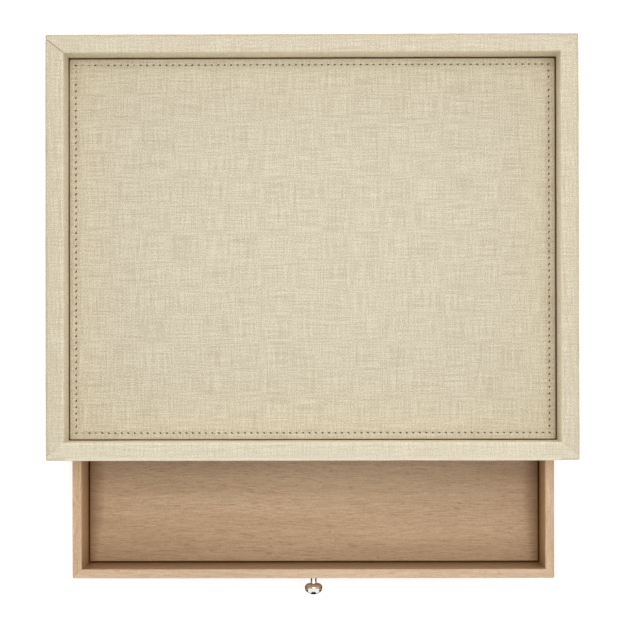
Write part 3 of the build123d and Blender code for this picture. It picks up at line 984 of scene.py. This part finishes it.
def knobOutline():
    # radius and distance from the drawer's face, from the foot to the middle of the face
    shoulder = Vector((knob["shoulderRadius"], knob["headBack"]))
    belly = Vector((knob["headRadius"], knob["headBack"] + knob["shoulderLength"]))
    brow = Vector((knob["browRadius"], knob["length"] - knob["faceDome"]))
    stem = [(0.0, knob["footGap"]), (knob["footRadius"], knob["footGap"]),
            (knob["footRadius"], knob["footThickness"]),
            (knob["stemRadius"], knob["footThickness"] + knob["footTaper"]),
            (knob["stemRadius"], knob["headBack"])]
    stem = eased([Vector(spot) for spot in stem] + [shoulder], knob["stemBend"])
    centre, flare = arcBetween(shoulder, belly, Vector((0, 1)), knob["arcSteps"])
    side = arcBetween(belly, brow, (centre - belly).normalized(), knob["arcSteps"])[1]
    dome = arcBetween(Vector((0, knob["length"])), brow, Vector((0, -1)), knob["domeSteps"])[1][::-1]
    return stem + flare[1:] + side[1:-2] + eased([side[-3], brow, dome[2]], knob["browBend"])[1:-1] + dome[2:]


# Polished nickel with painted reflections: its own bright colour where it faces up, back or down, a painted dark
# reflection where it faces up at a slant, and on its head a painted brown reflection of the drawer's wood.
metal = {
    "bright": (0.88, 0.87, 0.85),
    # painted reflections: brown of the drawer's wood, and dark
    "woodReflection": (0.42, 0.28, 0.19),
    "darkReflection": (0.012, 0.010, 0.008),
    # a painted brown reflection of the wood, in clouds, on the back of the head
    "shoulder": (0.50, 0.37, 0.27),
    "shader": {"Metallic": 1.0, "Roughness": 0.07, "Specular Tint": (0.22, 0.21, 0.20)},
    "clouds": ((700, 700, 700), (0, 0, 0), 3.0, 0.6),
    "cloudBump": (0.02, 0.5 * mm),
    "cloudShare": 0.2, "backBright": 0.95, "endsBright": 0.15,
    "sideBandAt": 0.42, "sideBandSpan": (0.24, 0.08),  # a brighter band on the sides, a painted highlight, as a part of the normal
    "lowerSpan": (0.12, 0.02), "brightSpan": (0.80, 0.93),
    "headRun": 0.4 * mm, "brownSpan": (-0.42, -0.22), "shoulderSpan": (-0.16, 0.02),
    "shoulderClouds": (0.25, 0.65, 0.35, 1.0),
}


def knobMaterial():
    material, tree, inputs = newMaterial("polishedNickel", metal["shader"])
    x, y, z = axesOf(signal(tree, "ShaderNodeNewGeometry", "Normal"))
    where = signal(tree, "ShaderNodeTexCoord", "Object")
    cloudy = grainNoise(where, *metal["clouds"])
    # where it faces up, back or down it keeps its own bright colour; elsewhere painted dark and brown reflections
    brightFacing = z + y.most(0.0) * metal["backBright"] + abs(y) * metal["endsBright"]
    brightFacing += abs(abs(x) - metal["sideBandAt"]).ranged(*metal["sideBandSpan"]) * abs(y)
    brightFacing += (cloudy - 0.5) * metal["cloudShare"]
    brightFacing = brightFacing.most(z.ranged(*metal["lowerSpan"]))
    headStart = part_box("knob")[1][1] - knob["headBack"] * mm
    onHead = axesOf(where)[1].ranged(headStart, headStart - metal["headRun"])
    reflected = blended(onHead * y.ranged(*metal["brownSpan"]), metal["darkReflection"], metal["woodReflection"])
    colour = blended(brightFacing.ranged(*metal["brightSpan"]), reflected, metal["bright"])
    shoulder = onHead * y.ranged(*metal["shoulderSpan"]) * cloudy.ranged(*metal["shoulderClouds"])
    feed(blended(shoulder, colour, metal["shoulder"], "MULTIPLY"), inputs["Base Color"])
    addBump(inputs, cloudy, *metal["cloudBump"])
    return material


def buildKnob():
    low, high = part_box("knob")
    face, middleX, middleZ = high[1], (low[0] + high[0]) / 2, (low[2] + high[2]) / 2
    foot, *rings, tip = knobOutline()
    count = knob["segments"]
    points, faces = [Vector((middleX, face - foot[1] * mm, middleZ))], []
    for radius, out in rings:
        for turn in range(count):
            angle = 2 * pi * turn / count
            points.append(Vector((middleX + cos(angle) * radius * mm, face - out * mm,
                                  middleZ + sin(angle) * radius * mm)))
    points.append(Vector((middleX, face - tip[1] * mm, middleZ)))
    last = 1 + (len(rings) - 1) * count
    for turn in range(count):
        after = (turn + 1) % count
        faces.append((0, 1 + turn, 1 + after))
        for base in range(1, last, count):
            faces.append((base + turn, base + count + turn, base + count + after, base + after))
        faces.append((last + turn, len(points) - 1, last + after))
    piece = newPiece("knob_turned", points, faces, knobMaterial())
    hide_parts("knob")
    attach(piece, "drawer")


buildKnob()
print("Knob built")

# Floor, light and camera
stage = {
    "floorShader": {"Base Color": (0.90, 0.90, 0.90), "Emission Color": (1, 1, 1), "Roughness": 0.8,
                    "Specular IOR Level": 0.2},
    "floorHalf": 6.0, "floorGlow": 0.50, "floorGlowMirrored": 0.22,
    "skyHorizon": 3.0, "skyFalloff": 3.2, "skyZenith": 0.36, "skyToRight": 0.02, "skyToBack": 0.12,
    "lampWatts": 9.5, "lampSize": (1.0, 0.9), "lampPlace": (0.16, 0.22, 1.45),
    "lens": 123.95,
    "cameraPlace": (0.01182, -0.0490, 1.27754),  # above the tray's rim
    "cameraTurn": (0.00786, 0.0091, -0.00204),
}


def raysOf(tree, *kinds):
    first, *others = (signal(tree, "ShaderNodeLightPath", f"Is {kind} Ray") for kind in kinds)
    for other in others:
        first = first.most(other)
    return first


def buildFloor():
    material, tree, inputs = newMaterial("paleFloor", stage["floorShader"])
    glow = (raysOf(tree, "Camera") * stage["floorGlow"]
            + raysOf(tree, "Glossy", "Transmission") * stage["floorGlowMirrored"])
    feed(glow, inputs["Emission Strength"])
    half = stage["floorHalf"]
    corners = [(-half, -half, 0), (half, -half, 0), (half, half, 0), (-half, half, 0)]
    newPiece("floor", corners, [(0, 1, 2, 3)], material)


def buildSky():
    # a dim tent with a bright low band around it, stronger to the right and back, behind a white backdrop
    world = bpy.data.worlds.new("softTent")
    bpy.context.scene.world = world
    world.use_nodes = True
    tree = world.node_tree
    tree.nodes.clear()
    x, y, z = axesOf(signal(tree, "ShaderNodeTexCoord", "Generated"))
    uneven = x * stage["skyToRight"] + y * stage["skyToBack"] + 1.0
    band = (1.0 - abs(z)).maths("POWER", stage["skyFalloff"]) * uneven * stage["skyHorizon"]
    tent, backdrop = (signal(tree, "ShaderNodeBackground", "Background", {"Color": (1, 1, 1), "Strength": strength})
                      for strength in (band + stage["skyZenith"], 1.0))
    seen = raysOf(tree, "Camera", "Glossy", "Transmission")
    mix = signal(tree, "ShaderNodeMixShader", "Shader", {0: seen, 1: tent, 2: backdrop})
    feed(mix, tree.nodes.new("ShaderNodeOutputWorld").inputs["Surface"])


def buildLamp():
    lamp = bpy.data.lights.new("softBox", "AREA")
    lamp.shape = "RECTANGLE"
    lamp.size, lamp.size_y = stage["lampSize"]
    lamp.energy = stage["lampWatts"]
    holder = newObject("softBox", lamp)
    holder.location = stage["lampPlace"]
    holder.rotation_euler = (-holder.location).to_track_quat("-Z", "Y").to_euler()


def buildCamera():
    # fitted to the photograph: almost straight above the front part of the tray
    lens = bpy.data.cameras.new("camera")
    lens.sensor_width = 36.0
    lens.lens = stage["lens"]
    lens.clip_start = 0.05
    lens.clip_end = 30.0
    camera = newObject("camera", lens)
    camera.location = Vector(stage["cameraPlace"]) + Vector((0, 0, rim))
    camera.rotation_euler = stage["cameraTurn"]
    bpy.context.scene.camera = camera


buildFloor()
buildSky()
buildLamp()
buildCamera()
bpy.context.scene.view_settings.view_transform = "Standard"
print("Stage, light and camera set")
